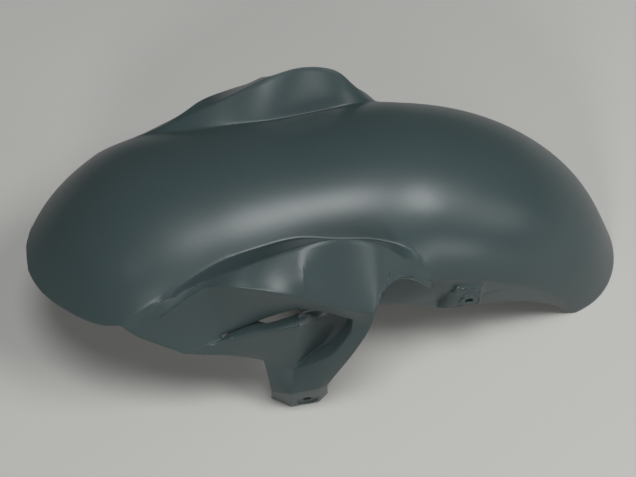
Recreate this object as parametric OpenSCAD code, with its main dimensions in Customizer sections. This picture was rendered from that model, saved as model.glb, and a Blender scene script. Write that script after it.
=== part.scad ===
// Front fender of a sport motorcycle: one injection-moulded shell, wrapped
// over the tyre, with an angular side wing, a through vent and a fork leg on
// each side, a small fixing pad on each rear side, and four fixing holes.
// Modelled as it rests on a floor, nose to -X and tail to +X.

/* [Wheel it covers] */
// Outer radius of the tyre under the fender
tyre_radius = 300; // [285:1:315]
// Air gap between the tyre and the inside of the crown
crown_clearance = 17; // [12:1:24]

/* [Shell] */
// Thickness of the moulded wall
wall = 3; // [2.6:0.1:3.6]
// Widest part of the shell, just behind the nose
body_width = 196; // [184:1:206]
// Depth of the rounded crown, from its top to its sides
shell_depth = 75; // [68:1:82]
// Angle of the nose tip ahead of the wheel's vertical
nose_angle = 41.2; // [39:0.2:45]

/* [Side wings] */
// Span over the outer faces of the two fork legs
wing_span = 236; // [228:1:250]
// Height of the wing's shoulder above the nominal crown circle
shoulder_rise = 5; // [0:0.5:8]
// Clear height of the vent at its tall end
vent_gap = 15; // [10:0.5:18]

/* [Fork legs] */
// Radial drop from the crown circle to the foot of the leg
leg_reach = 190; // [180:1:200]

/* [Fixing holes] */
// Bore of the two holes in the fork legs
leg_bore = 6.5; // [5.5:0.1:7.5]
// Diameter of the round seat about each leg hole
leg_seat = 17; // [15:0.5:18]
// Bore of the two rear side holes
rear_bore = 6.5; // [5.5:0.1:7.5]
// Diameter of the raised ring about each rear side hole
rear_boss = 15; // [13:0.5:17]

/* [Hidden] */
crown_radius = tyre_radius + crown_clearance + wall;

// Crown profile every 15 degrees from the tail: rise over the crown circle,
// half width and depth of the rounded section.
body_first = -64;
body_step = 15;
body = [[-4, 67, 53], [7, 75, 60], [10, 82, 65], [5, 85, 70],
        [-8, 87, 74], [-8, 93, 73], [0, 98, 71], [-7, 90, 76]];

// Edge of the nose, from the wing to the tip: share of the way to the nose
// angle, distance from the middle.
nose = [[0.24, 77], [0.46, 66.5], [0.65, 53.5], [0.81, 40], [0.92, 27], [0.985, 11]];

// Rails of the wing at twelve stations, leading edge to rear notch: angle
// ahead of vertical, drop under the crown circle, distance from the middle.
// root: angle and distance only, as it lies on the rounded body.
root = [[29, 82], [21.5, 76], [14.5, 66], [10, 61], [5.5, 58.5], [0, 56],
        [-5, 60], [-10, 63], [-13, 66], [-16, 70], [-19, 75.5], [-22.5, 84]];
shoulder = [[28.6, 41, 85], [21.2, 31, 79], [14.7, 26, 75.5], [10, 21, 76.5],
            [5.4, 14, 77.5], [0, 2, 79], [-5, -5, 81], [-10.2, 3, 83],
            [-13.2, 17.5, 81], [-15.8, 29, 81], [-19.2, 43, 84], [-22.3, 55, 85.5]];
ridge = [[28, 48, 88], [20.8, 37, 84], [14, 27, 81], [10.3, 24, 88],
         [6, 28, 95], [0.5, 35, 104], [-5.5, 46, 110.5], [-10.6, 51, 114],
         [-11.8, 38, 104], [-13.6, 35, 96], [-17, 39, 91], [-22.1, 57, 88]];
lip = [[24.3, 71, 96.5], [20, 79, 94], [16, 83, 91], [11, 79, 91], [7, 73, 92],
       [0.7, 70 - vent_gap, 99], [-7.6, 66, 109], [-10.8, 66, 114.3]];
shelf = [[24, 74, 96.5], [20, 82, 94.5], [16, 86, 92], [11.4, 85, 89],
         [7.2, 81, 91.5], [1, 70, 95.5], [-7.7, 71, 109], [-10.7, 70, 114.4]];
edge = [[23.9, 76, 97], [20, 84.5, 96], [15.8, 84.5, 95], [11.7, 79.5, 98],
        [7.4, 76, 101.5], [2.2, 70, 105], [-7.8, 82, 111], [-10.4, 81, 115]];
hem = [[23.6, 80, 97.2], [21, 92, 97], [17.7, 101, 97.5], [14, 112, 98.5],
       [10.1, 123, 100], [3.8, 141, 105], [-4.9, 111, 114], [-9, 108, 116]];
ankle = [[11.5, 166, 106], [5.7, 158, 116], [-2.1, 154, 118], [-4.6, 151, 117]];
foot = [[13.1, 185, 102], [7, 190, 111.5], [-3.3, 190, 111.5], [-6.5, 183, 108]];

// Lower edge of the rear side wall every 6 degrees: drop, distance from the
// middle.
skirt_first = -24;
skirt_step = -6;
skirt = [[101, 76], [100.5, 76], [88, 76], [75, 75], [64, 73], [57, 70], [54, 67]];

// Counts of steps along and across the shell.
n_nose = 6;
n_bay = 2;
n_tail = 10;
n_body = 7;

// Maps that carry the rail values to the chosen sizes.
function wide(y) = y <= 98 ? y * body_width / 196
    : body_width / 2 + (y - 98) * (wing_span - body_width) / 40;
function drop(d) = d <= 0 ? d * shoulder_rise / 5
    : d <= 75 ? d * shell_depth / 75
    : shell_depth + (d - 75) * (leg_reach - shell_depth) / 115;
function at(a, r, y) = [-r * sin(a), y, r * cos(a)];
function spot(p) = at(p[0], crown_radius - drop(p[1]), wide(p[2]));

// Smooth and straight interpolation in a table.
function pick(t, i) = i < 0 ? 2 * t[0] - t[1]
    : i > len(t) - 1 ? 2 * t[len(t) - 1] - t[len(t) - 2] : t[i];
function smooth(t, k) =
    let (i = max(0, min(floor(k), len(t) - 2)), f = k - i,
         a = pick(t, i - 1), b = t[i], c = t[i + 1], d = pick(t, i + 2))
    b + 0.5 * f * (c - a + f * (2 * a - 5 * b + 4 * c - d
        + f * (3 * b - a - 3 * c + d)));
function straight(t, k) =
    let (i = min(floor(k), len(t) - 2), f = k - i) t[i] * (1 - f) + t[i + 1] * f;
function front(t, k) = k < 5
    ? smooth([for (i = [0:5]) t[i]], k) : straight(t, k);

// A point of the rounded body at an angle and a distance from the middle.
function section(a) = smooth(body, (a - body_first) / body_step);
function lean(a, y) = asin(min(0.9998, y / section(a)[1]));
function on_body(a, phi) =
    let (s = section(a))
    at(a, crown_radius + s[0] - drop(s[2]) * (1 - cos(phi)),
       wide(s[1]) * sin(phi));

// Columns of the grid: kind (0 nose, 1 wing, 2 tail) and place along it.
foot_z = min([for (p = foot) spot(p)[2]]);
tail_end = -60.6;
columns = concat(
    [for (t = [n_nose - 1:-1:0]) [0, t * 5 / (n_nose - 1)]],
    [for (k = [0:11 * n_bay]) [1, k / n_bay]],
    [for (u = [0:n_tail]) [2, u / n_tail]]);
n_columns = len(columns);
n_rows = n_body + 15;
first_tail = n_nose + 11 * n_bay + 1;

function lip_angle(phi) =
    let (s = section(-64))
    -acos(foot_z / (crown_radius + s[0] - drop(s[2]) * (1 - cos(phi))));
function tail_wall(u) =
    let (a = -14.5 + u * (tail_end + 14.5),
         p = smooth(skirt, max(0, (a - skirt_first) / skirt_step)),
         q = crown_radius - drop(p[0]), e = foot_z / cos(tail_end),
         w = max(0, u - 0.8) / 0.2)
    at(a, q * (1 - w) + e * w, wide(p[1]));
function shell_row(c, f) =
    c[0] == 0 ? let (e = smooth(nose, c[1]), a = mix(root[0][0], nose_angle, e[0]))
        on_body(a, f * lean(a, e[1])) :
    c[0] == 1 ? let (r = smooth(root, c[1])) on_body(r[0], f * lean(r[0], r[1])) :
    let (e = lip_angle(82 * f), g = root[11][0] + c[1] * (e - root[11][0]),
         p = on_body(max(g, -66), 82 * f))
    c[1] == 1 ? at(e, foot_z / cos(e), p[1]) : at(g, norm([p[0], p[2]]), p[1]);
function mix(a, b, f) = a * (1 - f) + b * f;
function wing_row(k, n) =
    n <= 2 ? mix(shell_row([1, k], 1), spot(smooth(shoulder, k)), n / 2) :
    n <= 5 ? mix(spot(smooth(shoulder, k)), spot(front_ridge(k)), (n - 2) / 3) :
    n <= 8 ? mix(spot(front_ridge(k)), spot(front(lip, min(k, 7))), (n - 5) / 3) :
    n == 9 ? spot(front(shelf, min(k, 7))) :
    n == 10 ? spot(front(edge, min(k, 7))) :
    n <= 12 ? mix(spot(front(edge, min(k, 7))), spot(front(hem, min(k, 7))), (n - 10) / 2) :
    n <= 14 ? mix(spot(front(hem, min(k, 7))), spot(straight(ankle, leg_k(k))), (n - 12) / 2) :
    spot(straight(foot, leg_k(k)));
function leg_k(k) = max(0, min(3, k - 4));
function front_ridge(k) = k <= 7
    ? smooth([for (i = [0:7]) ridge[i]], k)
    : smooth([for (i = [7:11]) ridge[i]], k - 7);
function outer(j, i) =
    let (c = columns[j], n = i - n_body)
    n <= 0 ? shell_row(c, i / n_body) :
    c[0] == 1 ? wing_row(c[1], n) :
    c[0] == 2 ? mix(shell_row(c, 1), tail_wall(c[1]), min(n, 3) / 3) :
    shell_row(c, 1);

// Which cells of the grid are skin: column j to j + 1, row i to i + 1.
function skin(j, i) =
    j < 0 || j >= n_columns - 1 || i < 0 || i >= n_rows || j == first_tail - 1 ? false :
    i < n_body ? true :
    let (n = i - n_body, k = columns[j][1])
    j >= first_tail ? n < 3 :
    columns[j][0] == 0 ? false :
    n < 5 ? true :
    k >= 7 - 0.01 ? false :
    n < 8 ? true :
    n == 8 ? k < 2 - 0.01 || k >= 5 - 0.01 :
    n < 12 ? true :
    k >= 4 - 0.01;

half = [for (j = [0:n_columns - 1]) [for (i = [0:n_rows]) outer(j, i)]];
function grid(j, i) = i >= 0 ? half[j][i] : let (p = half[j][-i]) [p[0], -p[1], p[2]];
function there(j, i) = i >= 0 ? skin(j, i) : skin(j, -i - 1);
function unit(v) = v / max(norm(v), 0.000001);
function facing(j, i) =
    unit(cross(grid(j + 1, i + 1) - grid(j, i), grid(j, i + 1) - grid(j + 1, i)));
function left_of(j) = j == first_tail ? j - 1 : j;
function right_of(j) = j == first_tail - 1 ? j + 1 : j;
function around(j, i) = concat(
    [for (a = [0, 1]) let (q = i - a) if (there(right_of(j), q)
        && (right_of(j) == j || abs(q + 0.5) < n_body)) facing(right_of(j), q)],
    [for (a = [0, 1]) let (q = i - a) if (there(left_of(j) - 1, q)
        && (left_of(j) == j || abs(q + 0.5) < n_body)) facing(left_of(j) - 1, q)]);
function total(v, i = 0) = i >= len(v) ? [0, 0, 0] : v[i] + total(v, i + 1);
function inner(j, i) =
    let (v = around(j, i), t = total(v), s = norm(t), p = grid(j, i))
    s < 0.001 ? p : let (q = p - wall * t / s * min(1.7, len(v) / s))
    [q[0], q[1], max(q[2], foot_z)];

width = 2 * n_rows + 1;
layer = n_columns * width;
function index(j, i, s) = (j == first_tail && abs(i) <= n_body ? j - 1 : j) * width
    + i + n_rows + s * layer;
function cell(j, i) = [
    [index(j, i, 0), index(j + 1, i + 1, 0), index(j + 1, i, 0)],
    [index(j, i, 0), index(j, i + 1, 0), index(j + 1, i + 1, 0)],
    [index(j, i, 1), index(j + 1, i, 1), index(j + 1, i + 1, 1)],
    [index(j, i, 1), index(j + 1, i + 1, 1), index(j, i + 1, 1)]];
function rim(j, i, k, l) = [
    [index(j, i, 0), index(j, i, 1), index(k, l, 1)],
    [index(j, i, 0), index(k, l, 1), index(k, l, 0)]];
function joined_left(j, i) = j == first_tail && abs(i + 0.5) < n_body
    ? there(j - 2, i) : there(j - 1, i);
function joined_right(j, i) = j == first_tail - 2 && abs(i + 0.5) < n_body
    ? there(j + 2, i) : there(j + 1, i);
function closed(j, i) = concat(cell(j, i),
    joined_left(j, i) ? [] : rim(j, i, j, i + 1),
    joined_right(j, i) ? [] : rim(j + 1, i + 1, j + 1, i),
    there(j, i - 1) ? [] : rim(j + 1, i, j, i),
    there(j, i + 1) ? [] : rim(j, i + 1, j + 1, i + 1));

module shell() {
    polyhedron(
        points = [for (s = [0, 1]) for (j = [0:n_columns - 1]) for (i = [-n_rows:n_rows])
            s == 0 ? grid(j, i) : inner(j, i)],
        faces = [for (j = [0:n_columns - 2]) for (i = [-n_rows:n_rows - 1])
            if (there(j, i)) each closed(j, i)]);
}

// Fork hole, in the tilted face at the foot of the leg.
leg_tilt = 8;
leg_spot = [-2.5, wide(112.8), foot_z + 10];
module along_leg_hole(h0, h1, d) {
    translate(leg_spot) rotate([-90 - leg_tilt, 0, 0]) translate([0, 0, h0])
        cylinder(h = h1 - h0, d = d, $fn = 48);
}

// Rear side hole, through a raised pad with sloping sides.
rear_spot = at(-32.4, crown_radius - drop(72), wide(83.5));
module along_rear_hole(h0, h1, d) {
    translate(rear_spot) rotate([-90, 0, 0]) translate([0, 0, h0])
        cylinder(h = h1 - h0, d = d, $fn = 48);
}
module rear_pad() {
    translate(rear_spot) intersection() {
        translate([0, 0, -14]) linear_extrude(35)
            polygon([[-25, -5.5], [14, -5.5], [9, 0], [-19, 0]]);
        translate([-25, 0, 0]) rotate([90, 0, 90]) linear_extrude(39)
            polygon([[-5.5, -14], [-5.5, 21], [0, 16], [0, -9]]);
    }
}
module side_fittings() {
    rear_pad();
    along_rear_hole(-9.5, 1.5, rear_boss);
    along_leg_hole(-7, -1, leg_seat + 3);
}
module side_cuts() {
    along_rear_hole(-20, 5, rear_bore);
    along_leg_hole(-1, 6, leg_seat);
    along_leg_hole(-20, 6, leg_bore);
}
module both_sides() {
    children();
    mirror([0, 1, 0]) children();
}

// Everything is built about the wheel's axis, then stood on the floor.
flat = [for (c = half) for (p = c) p];
x_mid = (min([for (p = flat) p[0]]) + max([for (p = flat) p[0]])) / 2;

module fender() {
    color([0.36, 0.42, 0.42]) translate([-x_mid, 0, -foot_z]) difference() {
        union() {
            shell();
            both_sides() side_fittings();
        }
        both_sides() side_cuts();
    }
}

fender();
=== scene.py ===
"""Front fender of a sport motorcycle, resting on a pale studio floor."""
import math

import bpy
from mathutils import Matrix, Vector


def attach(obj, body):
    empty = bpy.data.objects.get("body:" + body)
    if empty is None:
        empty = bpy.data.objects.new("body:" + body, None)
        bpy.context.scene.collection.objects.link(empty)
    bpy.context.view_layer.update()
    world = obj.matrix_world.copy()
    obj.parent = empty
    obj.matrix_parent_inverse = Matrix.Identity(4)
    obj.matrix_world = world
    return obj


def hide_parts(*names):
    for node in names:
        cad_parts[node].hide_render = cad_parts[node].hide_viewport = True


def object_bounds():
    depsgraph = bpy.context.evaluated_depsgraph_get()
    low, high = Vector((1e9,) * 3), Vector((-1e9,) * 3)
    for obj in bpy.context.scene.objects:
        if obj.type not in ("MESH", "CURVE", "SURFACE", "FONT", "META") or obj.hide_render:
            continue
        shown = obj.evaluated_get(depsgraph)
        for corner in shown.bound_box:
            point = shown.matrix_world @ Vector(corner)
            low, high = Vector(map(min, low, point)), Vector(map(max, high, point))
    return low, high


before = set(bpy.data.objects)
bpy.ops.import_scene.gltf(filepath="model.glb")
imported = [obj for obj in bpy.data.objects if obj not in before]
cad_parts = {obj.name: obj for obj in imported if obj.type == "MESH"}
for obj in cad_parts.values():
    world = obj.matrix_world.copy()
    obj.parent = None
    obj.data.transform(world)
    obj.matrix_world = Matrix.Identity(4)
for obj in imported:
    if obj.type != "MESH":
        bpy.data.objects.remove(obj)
cad_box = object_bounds()

MM = 0.001

# The wheel's axle, the radius of the crown about it, and the radius of the circle that the
# crown's section is rounded about.
WHEEL = Vector((-0.0415224, 0, -0.129031))
CROWN = 0.320
SECTION_CIRCLE = 0.235

# Vertices nearer than the first are one vertex; a face narrower than the second has no area.
MERGE_REACH = 0.00002
SLIVER_WIDTH = 0.000001

# The least bend between two faces along a drawn line, at the blade's top edge, at an edge
# that is bevelled, at any crease, at an edge that is shaded sharp and at a rim.
LINE_BEND = math.radians(3)
BLADE_BEND = math.radians(15)
BEVEL_BEND = math.radians(16)
CREASE_BEND = math.radians(20)
SHADING_BEND = math.radians(38)
RIM_BEND = math.radians(55)

BEVEL_WIDTH = 0.0007
BLADE_ROUNDING = 0.0030
EDGE_SEGMENTS = 2
SUBDIVISIONS = 2

# How crisp an edge is that bends but lies on no drawn line, and the most inside the pocket.
PLAIN_CRISPNESS = 0.45
POCKET_CRISPNESS = 0.25


def unit(value):
    """A number held between 0 and 1."""
    return min(1.0, max(0.0, value))


def fade(value, start, end):
    """0 at start and 1 at end, and level beyond them."""
    return unit((value - start) / (end - start))


def folded(place):
    """A point brought over to the +Y side."""
    return Vector((place.x, abs(place.y), place.z))


def make_active(thing):
    for other in bpy.context.selected_objects:
        other.select_set(False)
    thing.select_set(True)
    bpy.context.view_layer.objects.active = thing


class Wire:
    """One output of a material, with the arithmetic the finishes need."""

    def __init__(self, bench, socket):
        self.bench = bench
        self.socket = socket

    def maths(self, operation, *values):
        return self.bench.node("ShaderNodeMath", {"operation": operation}, dict(enumerate(values)))

    def __add__(self, other):
        return self.maths("ADD", self, other)

    def __mul__(self, other):
        return self.maths("MULTIPLY", self, other)

    def __abs__(self):
        return self.maths("ABSOLUTE", self)


class Bench:
    """A material under construction."""

    def __init__(self, name):
        self.material = bpy.data.materials.new(name)
        self.material.use_nodes = True
        self.tree = self.material.node_tree
        self.tree.nodes.clear()

    def node(self, kind, settings, sockets, output=0):
        made = self.tree.nodes.new(kind)
        for name, value in settings.items():
            setattr(made, name, value)
        for key, value in sockets.items():
            if isinstance(value, Wire):
                self.tree.links.new(value.socket, made.inputs[key])
            else:
                made.inputs[key].default_value = value
        return Wire(self, made.outputs[output]) if made.outputs else None

    def mix(self, share, first, second):
        return self.node(
            "ShaderNodeMix",
            {"data_type": "RGBA", "clamp_factor": True},
            {0: share, 6: first, 7: second},
            output=2,
        )

    def place(self):
        return self.node("ShaderNodeTexCoord", {}, {}, output=3)

    def along(self, axis):
        """Object coordinate along X, Y or Z."""
        return self.node("ShaderNodeSeparateXYZ", {}, {0: self.place()}, output="XYZ".index(axis))

    def noise(self, scale, detail=3.0, roughness=0.5):
        return self.node(
            "ShaderNodeTexNoise",
            {},
            {"Vector": self.place(), "Scale": scale, "Detail": detail, "Roughness": roughness},
        )

    def ramp(self, factor, low, high):
        """0 at low and 1 at high, and level beyond them."""
        return self.node(
            "ShaderNodeMapRange", {}, {0: factor, 1: low, 2: high, 3: 0.0, 4: 1.0}
        )

    def between(self, factor, first_edge, second_edge):
        """1 between two soft edges, each given from its 0 end to its 1 end."""
        return self.ramp(factor, *first_edge) * self.ramp(factor, *second_edge)

    def bump(self, height, strength, distance):
        return self.node(
            "ShaderNodeBump", {}, {"Height": height, "Strength": strength, "Distance": distance}
        )

    def finish(self, sockets):
        surface = self.node("ShaderNodeBsdfPrincipled", {}, sockets)
        self.node("ShaderNodeOutputMaterial", {}, {0: surface})
        return self.material


def satin_paint():
    """Grey-green satin paint: a fine orange peel, a faint uneven tone and some dust. Its
    colour is darkened almost to black in the pocket behind each blade, as painted shade."""
    bench = Bench("satin_grey_green_paint")
    tone = bench.ramp(bench.noise(9.0, 4.0), 0.3, 0.7)
    speck = bench.ramp(bench.noise(900.0, 1.0), 0.62, 0.75)
    # Painted shade: a box round the pocket behind each blade, where the paint is darkened.
    painted_recess_shade = (bench.between(abs(bench.along("Y")), (0.0840, 0.0870), (0.1052, 0.1000))
              * bench.between(bench.along("X"), (-0.0530, -0.0430), (0.0020, -0.0040))
              * bench.between(bench.along("Z"), (0.0450, 0.0550), (0.1290, 0.1250)))
    colour = bench.mix(tone, (0.029, 0.046, 0.0475, 1), (0.034, 0.052, 0.0535, 1))
    colour = bench.mix(speck * 0.25, colour, (0.055, 0.078, 0.080, 1))
    # Painted shade: the pocket behind each blade is darkened towards near black.
    colour = bench.mix(painted_recess_shade * 0.6, colour, (0.009, 0.013, 0.0145, 1))
    rough = bench.ramp(bench.noise(16.0, 5.0), 0.2, 0.8) * 0.05 + 0.32
    peel = bench.noise(420.0, 2.0) * 0.6 + bench.noise(1500.0, 1.0) * 0.4
    return bench.finish({
        "Base Color": colour,
        "Roughness": rough,
        "Specular IOR Level": 0.42,
        "Normal": bench.bump(peel, 0.12, 0.0004),
    })


def bare_plastic():
    """Ivory moulded plastic of the unpainted inside, with paint drifted over it."""
    bench = Bench("bare_ivory_plastic")
    drift = bench.ramp(bench.noise(14.0, 5.0, 0.6), 0.35, 0.75)
    colour = bench.mix(drift * 0.35, (0.24, 0.235, 0.19, 1), (0.12, 0.14, 0.13, 1))
    rough = bench.ramp(bench.noise(40.0, 3.0), 0.3, 0.7) * 0.1 + 0.45
    return bench.finish({
        "Base Color": colour,
        "Roughness": rough,
        "Specular IOR Level": 0.4,
        "Normal": bench.bump(bench.noise(650.0, 2.0), 0.2, 0.0003),
    })


def on_wheel(angle, drop, aside):
    """A point by its angle ahead of the wheel's vertical, its drop under the crown
    circle and its distance from the middle, in degrees and millimetres."""
    turn = math.radians(angle)
    reach = CROWN - drop * MM
    return Vector((
        WHEEL.x - reach * math.sin(turn),
        aside * MM,
        WHEEL.z + reach * math.cos(turn),
    ))


def line_of(*places):
    return [on_wheel(*place) for place in places]


# Lines of the +Y wing, from its leading edge to the notch for the fork, and how crisp each
# one is.
SHOULDER = line_of((28.6, 41, 85), (21.2, 31, 79), (14.7, 26, 75.5), (10, 21, 76.5),
                   (5.4, 14, 77.5), (0, 2, 79), (-5, -5, 81), (-10.2, 3, 83),
                   (-13.2, 17.5, 81), (-15.8, 29, 81), (-19.2, 43, 84), (-22.3, 55, 85.5))
RIDGE = line_of((28, 48, 88), (20.8, 37, 84), (14, 27, 81), (10.3, 24, 88), (6, 28, 95),
                (0.5, 35, 104), (-5.5, 46, 110.5), (-10.6, 51, 114))
LIP = line_of((24.3, 71, 96.5), (20, 79, 94), (16, 83, 91), (11, 79, 91), (7, 73, 92),
              (0.7, 55, 99), (-7.6, 66, 109), (-10.8, 66, 114.3))
SHELF = line_of((24, 74, 96.5), (20, 82, 94.5), (16, 86, 92), (11.4, 85, 89), (7.2, 81, 91.5),
                (1, 70, 95.5), (-7.7, 71, 109), (-10.7, 70, 114.4))
BLADE_TOP = line_of((23.9, 76, 97), (20, 84.5, 96), (15.8, 84.5, 95), (11.7, 79.5, 98),
                    (7.4, 76, 101.5), (2.2, 70, 105))
HEM = line_of((10.1, 123, 100), (3.8, 141, 105), (-4.9, 111, 114))
ANKLE = line_of((11.5, 166, 106), (5.7, 158, 116), (-2.1, 154, 118), (-4.6, 151, 117))
LEG_FRONT = line_of((3.8, 141, 105), (5.7, 158, 116), (7, 190, 111.5))
LEG_REAR = line_of((-2.1, 154, 118), (-3.3, 190, 111.5))
FOLD = line_of((0, 2, 79), (0.5, 35, 104))
CRISP_LINES = [
    (SHOULDER, 0.55), (RIDGE, 1.0), (LIP, 1.0), (SHELF, 1.0), (FOLD, 0.6), (BLADE_TOP, 0.4),
    (HEM, 0.45), (ANKLE, 1.0), (LEG_FRONT, 1.0), (LEG_REAR, 1.0),
]

# Where drawn lines are looked for: further out than this, and in front of this. Behind it
# only the shoulder goes on.
LINES_ASIDE = 0.07
LINES_REAR = 0.002

# Outline of the pocket behind the blade as x and z, how far out it reaches, how deep it is
# and how wide its rim is.
POCKET = [(-0.0448, 0.1365), (-0.0480, 0.1209), (-0.0534, 0.0496), (-0.0237, 0.0792),
          (-0.0090, 0.1068), (-0.0079, 0.1230)]
POCKET_ASIDE = 0.1005
POCKET_DEPTH = 0.0135
POCKET_RIM = 0.0012


def gap_to(place, line):
    """Distance of a point from a line of the wing."""
    gaps = []
    for start, end in zip(line, line[1:]):
        leg = end - start
        share = unit((place - start).dot(leg) / leg.length_squared)
        gaps.append((place - (start + leg * share)).length)
    return min(gaps)


def on_line(first, second, line):
    """Whether an edge runs along a line of the wing."""
    way = (second - first).normalized()
    middle = (first + second) / 2
    for start, end in zip(line, line[1:]):
        leg = end - start
        if abs(way.dot(leg.normalized())) < 0.8:
            continue
        share = (middle - start).dot(leg) / leg.length_squared
        if -0.15 < share < 1.15 and (middle - (start + leg * share)).length < 0.0036:
            return True
    return False


def within(place, corners):
    """Whether a point lies inside a polygon, seen from the side."""
    inside_it = False
    for (x1, z1), (x2, z2) in zip(corners, corners[1:] + corners[:1]):
        if (z1 > place.z) != (z2 > place.z):
            cross = x1 + (place.z - z1) / (z2 - z1) * (x2 - x1)
            if place.x < cross:
                inside_it = not inside_it
    return inside_it


def near(place, reach):
    return lambda vertex: (folded(vertex.co) - Vector(place)).length < reach


def unpick(mesh):
    for items in (mesh.vertices, mesh.edges, mesh.polygons):
        for item in items:
            item.select = False


def leave_edit_mode():
    bpy.ops.mesh.select_all(action="DESELECT")
    bpy.ops.object.mode_set(mode="OBJECT")


def edge_ends(mesh, edge):
    """The two ends of an edge, brought over to the +Y side."""
    return [folded(mesh.vertices[index].co) for index in edge.vertices]


def normals_by_edge(mesh):
    """The normals of the faces that meet at each edge."""
    normals = {}
    for face in mesh.polygons:
        for key in face.edge_keys:
            normals.setdefault(key, []).append(face.normal)
    return normals


def shell_copy(node):
    """A merged copy of the moulding, turned back into the quads it was drawn with."""
    shell = bpy.data.objects.new("fender_shell", node.data.copy())
    bpy.context.scene.collection.objects.link(shell)
    make_active(shell)
    bpy.ops.object.mode_set(mode="EDIT")
    bpy.ops.mesh.select_all(action="SELECT")
    bpy.ops.mesh.remove_doubles(threshold=MERGE_REACH)
    bpy.ops.mesh.tris_convert_to_quads(
        face_threshold=math.radians(60), shape_threshold=math.radians(70)
    )
    leave_edit_mode()
    return shell


def slide(shell, wanted, shift):
    """Moves the vertices that pass a test, on both sides, by a shift given for +Y."""
    make_active(shell)
    for side in (1, -1):
        unpick(shell.data)
        for vertex in shell.data.vertices:
            vertex.select = vertex.co.y * side > 0 and wanted(vertex)
        bpy.ops.object.mode_set(mode="EDIT")
        bpy.ops.transform.translate(value=(shift[0], shift[1] * side, shift[2]))
        leave_edit_mode()


def close_notch_wall(shell):
    """Carries the front edge of the rear side wall up under the crown."""
    slide(shell, near((0.0446, 0.0798, 0.1044), 0.0032), (0.003, -0.0045, 0.0275))
    slide(shell, near((0.0290, 0.0772, 0.0936), 0.0032), (0.004, -0.0080, 0.0460))


def raise_fold(shell):
    """Pushes out the upright fold across the wing's top sheet."""
    for share, shift in ((1 / 3, 0.0016), (2 / 3, 0.0028)):
        slide(shell, near(FOLD[0].lerp(FOLD[1], share), 0.0085), (0, shift, shift * 0.4))


def deepen_slot(shell):
    """Carries the shelf behind the blade further in, so that the slot closes to a point."""

    def on_shelf(vertex):
        place = folded(vertex.co)
        return -0.101 < place.x < -0.076 and place.y < 0.0925 and gap_to(place, SHELF) < 0.0034

    slide(shell, on_shelf, (0, -0.0050, 0.0010))


def round_blade(shell):
    """Rounds the top edge of the blade, which shows as a bright line."""
    make_active(shell)
    mesh = shell.data
    unpick(mesh)
    normals = normals_by_edge(mesh)
    line = BLADE_TOP[2:]
    for edge in mesh.edges:
        sides = normals.get(edge.key, [])
        if len(sides) != 2 or sides[0].angle(sides[1], 0.0) <= BLADE_BEND:
            continue
        first, second = edge_ends(mesh, edge)
        lengthwise = abs(second.x - first.x) > 0.004
        on_blade = (-0.101 < (first.x + second.x) / 2 < -0.050
                    and max(gap_to(first, line), gap_to(second, line)) < 0.0024)
        if lengthwise and on_blade and max(sides[0].z, sides[1].z) > 0.35:
            edge.select = True
    bpy.ops.object.mode_set(mode="EDIT")
    bpy.ops.mesh.select_mode(type="EDGE")
    bpy.ops.mesh.bevel(offset=BLADE_ROUNDING, segments=EDGE_SEGMENTS, clamp_overlap=True)
    bpy.ops.mesh.select_mode(type="VERT")
    leave_edit_mode()


def pocket_depth(place):
    """How far the pocket is sunk, from its front crease to its rear wall."""
    front = -0.0455 - (0.135 - place.z) * 0.095
    back = -0.0079 - max(0.0, 0.118 - place.z) * 0.42
    along = unit((place.x - front) / max(0.004, back - front))
    high = fade(place.z, 0.085, 0.130)
    return POCKET_DEPTH * min(1.0, along ** 0.8 + high ** 3 * min(1.0, along * 4) * 0.6)


def sink_pocket(shell):
    """Sinks the pocket of each wing behind its blade, wall and all."""
    make_active(shell)
    mesh = shell.data
    for side in (1, -1):
        unpick(mesh)
        for face in mesh.polygons:
            if (face.center.y * side > 0.088 and face.normal.y * side > 0.25
                    and within(face.center, POCKET)):
                face.select = True
        bpy.ops.object.mode_set(mode="EDIT")
        bpy.ops.mesh.select_mode(type="FACE")
        bpy.ops.mesh.inset(thickness=POCKET_RIM, depth=0.0, use_even_offset=True)
        bpy.ops.mesh.select_mode(type="VERT")
        bpy.ops.object.mode_set(mode="OBJECT")
        floor = {vertex.index for vertex in mesh.vertices if vertex.select}
        back = {vertex.index for vertex in mesh.vertices
                if vertex.co.y * side > 0.082 and vertex.normal.y * side < -0.2
                and -0.058 < vertex.co.x < -0.003 and 0.046 < vertex.co.z < 0.130}
        for index in floor | back:
            vertex = mesh.vertices[index]
            vertex.co.y -= side * pocket_depth(vertex.co)
        mesh.update()


def lean_pad(shell):
    """Slants the front end of each rear pad and makes it steep."""
    slant, foot_shift = 0.0075, 0.0035
    for vertex in shell.data.vertices:
        place = vertex.co
        if abs(place.y) < 0.073 or not 0.052 < place.x < 0.081 or not 0.068 < place.z < 0.108:
            continue
        reach = fade(place.x, 0.082, 0.073) * fade(place.x, 0.052, 0.064)
        rise = fade(place.z, 0.070, 0.097)
        foot = foot_shift if 0.060 < place.x < 0.0705 else 0.0
        place.x += reach * (slant * rise + foot)
    shell.data.update()


def crispness_at(bend, first, second):
    """How crisp an edge is, by the bend across it and its two ends."""
    crispness = 1.0 if bend > RIM_BEND else 0.0
    middle = (first + second) / 2
    if bend > LINE_BEND and middle.y > LINES_ASIDE:
        lines = CRISP_LINES if middle.x < LINES_REAR else CRISP_LINES[:1]
        for line, wanted in lines:
            if wanted > crispness and on_line(first, second, line):
                crispness = wanted
    if bend > CREASE_BEND:
        crispness = max(crispness, PLAIN_CRISPNESS)
    if middle.y < POCKET_ASIDE and within(middle, POCKET):
        crispness = min(crispness, POCKET_CRISPNESS)
    return crispness


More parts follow.
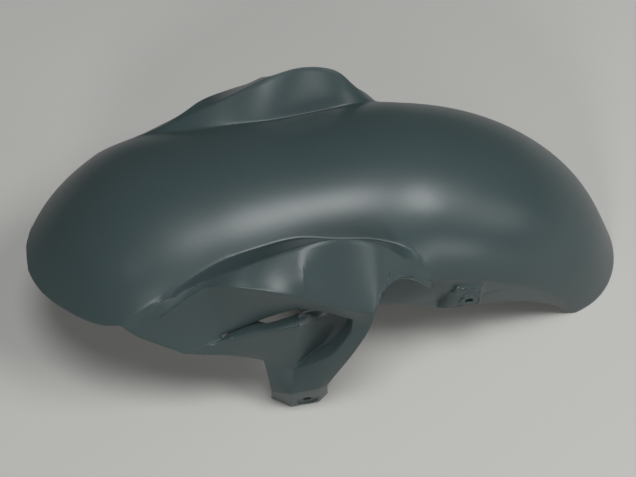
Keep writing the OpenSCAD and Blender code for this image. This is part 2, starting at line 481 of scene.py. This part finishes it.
def sharpen(shell):
    """Creases the rims, the wing's lines and every other edge that turns sharply."""
    mesh = shell.data
    crease = mesh.attributes.new("crease_edge", "FLOAT", "EDGE")
    normals = normals_by_edge(mesh)
    for edge in mesh.edges:
        sides = normals.get(edge.key, [])
        if len(sides) == 2:
            bend = sides[0].angle(sides[1], 0.0)
            crease.data[edge.index].value = crispness_at(bend, *edge_ends(mesh, edge))


def inside(face):
    """Whether a face of the shell looks towards the wheel."""
    place, normal = face.center, face.normal
    aside = abs(place.y)
    outward = normal.y * math.copysign(1.0, place.y)
    # The wing and the leg: the shelf of the vent and the sheets that slope up are painted.
    if place.x < 0.004 and aside > 0.082 and place.z < 0.132:
        return normal.z < 0.35 and (outward < -0.25 or (outward < 0.1 and normal.z < 0))
    # The rear side wall, with its pad and boss.
    if place.x > 0.010 and aside > 0.070 and place.z < 0.125:
        return outward < -0.3
    # The crown.
    turn = Vector((place.x - WHEEL.x, 0, place.z - WHEEL.z)).normalized() * SECTION_CIRCLE
    away = (place - Vector((WHEEL.x + turn.x, 0, WHEEL.z + turn.z))).normalized()
    return normal.dot(away) < -0.25


def dress(shell):
    """Paint outside, bare plastic inside."""
    shell.data.materials.clear()
    shell.data.materials.append(satin_paint())
    shell.data.materials.append(bare_plastic())
    for face in shell.data.polygons:
        face.material_index = 1 if inside(face) else 0


def smooth_surface(shell):
    """Rounds the faces between the creases."""
    make_active(shell)
    smooth = shell.modifiers.new("smooth", "SUBSURF")
    smooth.levels = SUBDIVISIONS
    bpy.ops.object.modifier_apply(modifier="smooth")


def bevel_edges(shell):
    """Takes the sharpness off every edge that is still crisp."""
    make_active(shell)
    edges = shell.modifiers.new("edges", "BEVEL")
    edges.limit_method = "ANGLE"
    edges.angle_limit = BEVEL_BEND
    edges.width = BEVEL_WIDTH
    edges.segments = EDGE_SEGMENTS
    edges.use_clamp_overlap = False
    bpy.ops.object.modifier_apply(modifier="edges")


def hold_in_box(shell):
    """Keeps every vertex inside the solids' box."""
    low, high = cad_box
    for vertex in shell.data.vertices:
        vertex.co = Vector([min(max(vertex.co[i], low[i]), high[i]) for i in range(3)])


def drop_slivers(shell):
    """Takes out the faces that the bevel left without any area."""
    make_active(shell)
    bpy.ops.object.mode_set(mode="EDIT")
    bpy.ops.mesh.select_mode(type="VERT")
    bpy.ops.mesh.select_all(action="SELECT")
    bpy.ops.mesh.dissolve_degenerate(threshold=SLIVER_WIDTH)
    leave_edit_mode()


def fender():
    shell = shell_copy(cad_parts["fender"])
    for step in (close_notch_wall, raise_fold, deepen_slot, round_blade, sink_pocket, lean_pad,
                 sharpen, dress, smooth_surface, bevel_edges, hold_in_box, drop_slivers):
        step(shell)
    bpy.ops.object.shade_smooth_by_angle(angle=SHADING_BEND)
    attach(shell, "root")
    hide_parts("fender")


def lay_floor():
    """A pale matt floor."""
    bpy.ops.mesh.primitive_plane_add(size=6.0, location=(0, 0, 0))
    floor = bpy.context.object
    floor.name = "floor"
    bench = Bench("pale_floor")
    floor.data.materials.append(bench.finish({
        "Base Color": (0.395, 0.393, 0.379, 1),
        "Roughness": 0.8,
        "Specular IOR Level": 0.1,
    }))


def fill_air():
    """A dim cool light from all round, which the camera sees as a pale wall."""
    world = bpy.data.worlds.new("studio_air")
    bpy.context.scene.world = world
    world.use_nodes = True
    tree = world.node_tree
    air = tree.nodes["Background"]
    air.inputs[0].default_value = (0.86, 0.9, 0.93, 1)
    air.inputs[1].default_value = 0.085
    wall = tree.nodes.new("ShaderNodeBackground")
    wall.inputs[0].default_value = (0.5, 0.5, 0.49, 1)
    wall.inputs[1].default_value = 1.0
    path = tree.nodes.new("ShaderNodeLightPath")
    choice = tree.nodes.new("ShaderNodeMixShader")
    tree.links.new(path.outputs["Is Camera Ray"], choice.inputs[0])
    tree.links.new(air.outputs[0], choice.inputs[1])
    tree.links.new(wall.outputs[0], choice.inputs[2])
    tree.links.new(choice.outputs[0], tree.nodes["World Output"].inputs[0])


# Each lamp's name, its place, the height on the fender that it faces, its diameter and its
# power.
LAMPS = [
    ("ceiling_left", (-0.05, -0.40, 2.3), 0.05, 0.8, 28),
    ("ceiling_right", (1.15, -0.58, 2.0), 0.05, 0.9, 28),
    ("ceiling_nose", (-1.6, -0.75, 2.2), 0.05, 0.5, 1.5),
    ("front_left", (-0.80, -2.05, 1.22), 0.1, 0.6, 18),
    ("front_right", (1.29, -2.23, 0.5), 0.1, 0.8, 9),
    ("window_right", (2.4, -0.9, 1.2), 0.1, 1.2, 8),
]


def hang_lamps():
    for name, place, facing, size, power in LAMPS:
        light = bpy.data.lights.new(name, "AREA")
        light.shape = "DISK"
        light.size = size
        light.energy = power
        holder = bpy.data.objects.new(name, light)
        holder.location = place
        way = Vector((0, 0, facing)) - Vector(place)
        holder.rotation_euler = way.to_track_quat("-Z", "Y").to_euler()
        bpy.context.scene.collection.objects.link(holder)


def place_camera():
    """The camera of the photograph: above the -Y side, looking down at the fender."""
    camera = bpy.data.cameras.new("camera")
    camera.lens = 82.87
    camera.sensor_width = 36.0
    camera.sensor_fit = "HORIZONTAL"
    camera.clip_start = 0.01
    view = bpy.data.objects.new("camera", camera)
    turn, height, reach = math.radians(10.4), math.radians(57.0), 1.2
    aim = Vector((-0.0145, 0, 0.0719))
    look = Vector((
        math.sin(turn) * math.cos(height),
        math.cos(turn) * math.cos(height),
        -math.sin(height),
    ))
    view.location = aim - look * reach
    view.rotation_euler = (math.pi / 2 - height, 0, -turn)
    bpy.context.scene.collection.objects.link(view)
    bpy.context.scene.camera = view
    bpy.context.scene.view_settings.view_transform = "Standard"


fender()
lay_floor()
fill_air()
hang_lamps()
place_camera()
